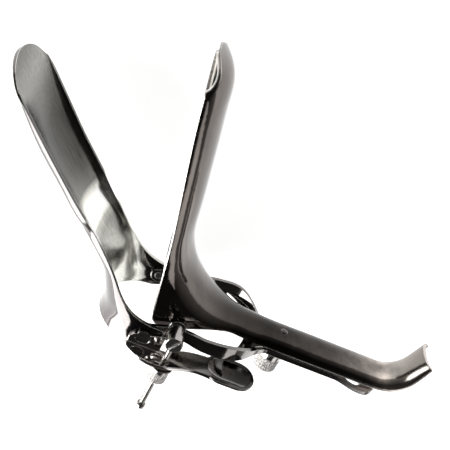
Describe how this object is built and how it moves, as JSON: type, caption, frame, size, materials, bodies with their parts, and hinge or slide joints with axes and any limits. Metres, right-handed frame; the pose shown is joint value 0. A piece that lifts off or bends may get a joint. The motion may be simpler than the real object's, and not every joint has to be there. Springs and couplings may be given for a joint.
{
  "type": "bivalve speculum",
  "caption": "Hand-held two-bladed metal instrument: a blade formed with a hooked handle, and a hinged blade on a sliding yoke, spread by a thumb lever and locked by knurled nuts.",
  "frame": {"origin": "on the blade pivot axis, at the outer face of the head of the pivot screw on the side that the instrument lies on", "axes": "+X along the handle away from the blades, +Y forward out of the handle's plane towards the blade tips, +Z along the pivot axis towards the thumb lever's side"},
  "size_m": [0.1904, 0.1432, 0.051],
  "materials": {
    "blade_steel": "mirror polished stainless steel sheet, satin on the channel side",
    "yoke_steel": "mirror polished stainless steel sheet",
    "lever_steel": "polished stainless steel sheet, softly worn at the thumb dish",
    "screw_steel": "turned and polished screw and rivet heads",
    "rod_steel": "rolled screw thread, bright",
    "nut_steel": "knurled and plated nut",
    "washer_steel": "turned flat washer"
  },
  "bodies": {
    "lower_frame": {"lower_blade_handle": "blade_steel", "handle_stud": "screw_steel", "stud_guide": "washer_steel", "clamp_washer": "washer_steel"},
    "yoke_slide_frame": {"yoke": "yoke_steel", "pivot_screw_near": "screw_steel", "pivot_screw_far": "screw_steel", "swivel_screw": "screw_steel", "swivel_spacer": "washer_steel"},
    "upper_lever": {"upper_blade": "blade_steel", "thumb_lever": "lever_steel", "lever_rivet": "screw_steel"},
    "rod_swivel": {"threaded_rod": "rod_steel", "rod_stop": "screw_steel"},
    "lock_collar": {"thumb_collar": "washer_steel"},
    "lock_nut": {"thumb_nut": "nut_steel"},
    "slide_nut": {"clamp_nut": "nut_steel"}
  },
  "joints": [
    {"name": "yoke_slide", "type": "slide", "parent": "lower_frame", "child": "yoke_slide_frame", "axis": [-1, 0, 0], "range_m": [0, 0.0155]},
    {"name": "blade_tilt", "type": "hinge", "parent": "yoke_slide_frame", "child": "upper_lever", "pos_m": [0, 0, 0.0214], "axis": [0, 0, 1], "range_deg": [-33, 8]},
    {"name": "rod_swing", "type": "hinge", "parent": "yoke_slide_frame", "child": "rod_swivel", "pos_m": [0.0108, 0.007, 0.0464], "axis": [0, 0, 1], "range_deg": [-21.5, 5.5]},
    {"name": "collar_slide", "type": "slide", "parent": "rod_swivel", "child": "lock_collar", "axis": [0, -1, 0], "range_m": [-0.0015, 0.0058]},
    {"name": "thumb_nut_spin", "type": "hinge", "parent": "lock_collar", "child": "lock_nut", "pos_m": [0.0108, -0.01, 0.0464], "axis": [0, 1, 0], "continuous": true},
    {"name": "clamp_nut_spin", "type": "hinge", "parent": "lower_frame", "child": "slide_nut", "pos_m": [0.054, -0.004, 0.0214], "axis": [0, 1, 0], "continuous": true}
  ],
  "couplings": [
    {"joint": "rod_swing", "follows": "blade_tilt", "ratio": 0.63},
    {"joint": "collar_slide", "follows": "blade_tilt", "m_per_rad": -0.0097}
  ]
}
